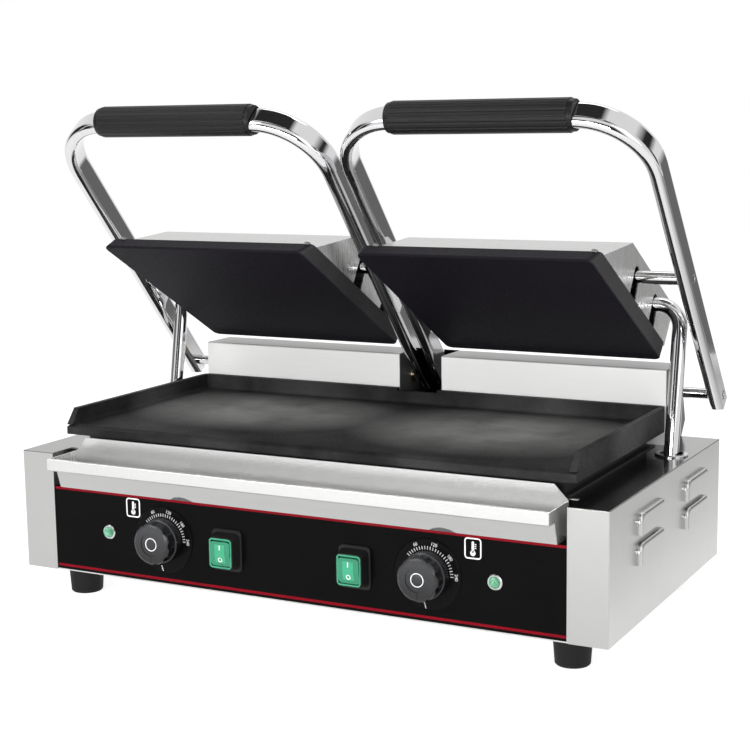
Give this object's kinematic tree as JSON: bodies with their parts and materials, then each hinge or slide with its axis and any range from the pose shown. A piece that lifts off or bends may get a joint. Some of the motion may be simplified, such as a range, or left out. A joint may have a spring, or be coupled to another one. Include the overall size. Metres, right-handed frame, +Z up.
{
  "type": "contact grill",
  "caption": "Counter-top contact grill: a wide rimmed lower griddle, lifting heated heads on bent tube handles, control panel with knobs, rocker switches and lamps, and a pull-out drip tray.",
  "frame": {"origin": "table level, at the middle of the whole outline with the heads raised", "axes": "+X to the operator's right, +Y to the back, +Z up"},
  "size_m": [0.584, 0.337, 0.45],
  "materials": {
    "brushed_case": "satin brushed",
    "mirror_steel": "bright",
    "cast_black": "dark, fine grain",
    "panel_black": "satin black",
    "pan_dark": "matt dark",
    "black_plastic": "matt black",
    "green_rocker": "gloss green",
    "green_lens": "clear green",
    "foot_rubber": "matt",
    "element_steel": "oxidised",
    "wool": "fibrous",
    "brass_bush": "turned",
    "copper_line": "drawn",
    "spring_steel": "oiled",
    "cream_plastic": "moulded"
  },
  "bodies": {
    "base": {"side_case_left": "brushed_case", "side_case_right": "brushed_case", "base_pan": "brushed_case", "feet": "foot_rubber", "rear_panel": "brushed_case", "cable_gland": "black_plastic", "control_panel": "panel_black", "deck": "brushed_case", "lower_plate": "cast_black", "heater_pan": "pan_dark", "lower_element_left": "element_steel", "lower_element_right": "element_steel", "lower_insulation": "wool", "spring_box_left": "brushed_case", "spring_box_right": "brushed_case", "gap_plate": "panel_black", "pivot_bushes": "brass_bush", "torsion_spring_left": "spring_steel", "torsion_spring_right": "spring_steel", "conduit_grommets": "mirror_steel", "dials": "black_plastic", "thermostat_left": "cream_plastic", "thermostat_right": "cream_plastic", "sensing_bulb_left": "copper_line", "sensing_bulb_right": "copper_line", "switch_frame_left": "black_plastic", "switch_frame_right": "black_plastic", "lamp_bezels": "mirror_steel", "lamp_lenses": "green_lens", "terminal_block": "cream_plastic"},
    "tray": {"drip_tray": "brushed_case"},
    "arm_left": {"arm_tube_left": "mirror_steel", "grip_left": "black_plastic", "hanger_rod_left": "mirror_steel", "pivot_rod_left": "mirror_steel", "spring_collar_left": "element_steel"},
    "head_left": {"head_plate_left": "cast_black", "head_cover_left": "brushed_case", "head_brackets_left": "element_steel", "head_element_left": "element_steel", "head_insulation_left": "wool", "conduit_left": "mirror_steel"},
    "knob_left": {"knob_left": "black_plastic"},
    "switch_left": {"rocker_left": "green_rocker"},
    "arm_right": {"arm_tube_right": "mirror_steel", "grip_right": "black_plastic", "hanger_rod_right": "mirror_steel", "pivot_rod_right": "mirror_steel", "spring_collar_right": "element_steel"},
    "head_right": {"head_plate_right": "cast_black", "head_cover_right": "brushed_case", "head_brackets_right": "element_steel", "head_element_right": "element_steel", "head_insulation_right": "wool", "conduit_right": "mirror_steel"},
    "knob_right": {"knob_right": "black_plastic"},
    "switch_right": {"rocker_right": "green_rocker"}
  },
  "joints": [
    {"name": "arm_hinge_left", "type": "hinge", "parent": "base", "child": "arm_left", "pos_m": [-0.14835, 0.14, 0.182], "axis": [1, 0, 0], "range_deg": [0, 43.56], "stiffness_Nm_per_rad": 4.5, "springref_deg": -71.62},
    {"name": "head_hinge_left", "type": "hinge", "parent": "arm_left", "child": "head_left", "pos_m": [-0.13415, 0.03963, 0.29746], "axis": [1, 0, 0], "range_deg": [-14.08, 0]},
    {"name": "arm_hinge_right", "type": "hinge", "parent": "base", "child": "arm_right", "pos_m": [0.14835, 0.14, 0.182], "axis": [1, 0, 0], "range_deg": [0, 43.56], "stiffness_Nm_per_rad": 4.5, "springref_deg": -71.62},
    {"name": "head_hinge_right", "type": "hinge", "parent": "arm_right", "child": "head_right", "pos_m": [0.13415, 0.03963, 0.29746], "axis": [1, 0, 0], "range_deg": [-14.08, 0]},
    {"name": "thermostat_left", "type": "hinge", "parent": "base", "child": "knob_left", "pos_m": [-0.12996, -0.1485, 0.069], "axis": [0, 1, 0], "range_deg": [0, 270]},
    {"name": "power_left", "type": "hinge", "parent": "base", "child": "switch_left", "pos_m": [-0.06298, -0.1515, 0.067], "axis": [-1, 0, 0], "range_deg": [0, 10]},
    {"name": "thermostat_right", "type": "hinge", "parent": "base", "child": "knob_right", "pos_m": [0.12996, -0.1485, 0.069], "axis": [0, 1, 0], "range_deg": [0, 270]},
    {"name": "power_right", "type": "hinge", "parent": "base", "child": "switch_right", "pos_m": [0.06298, -0.1515, 0.067], "axis": [-1, 0, 0], "range_deg": [0, 10]},
    {"name": "tray_slide", "type": "slide", "parent": "base", "child": "tray", "axis": [0, -1, 0], "range_m": [0, 0.06]}
  ],
  "couplings": [
    {"joint": "head_hinge_left", "follows": "arm_hinge_left", "ratio": -0.3228},
    {"joint": "head_hinge_right", "follows": "arm_hinge_right", "ratio": -0.3228}
  ]
}
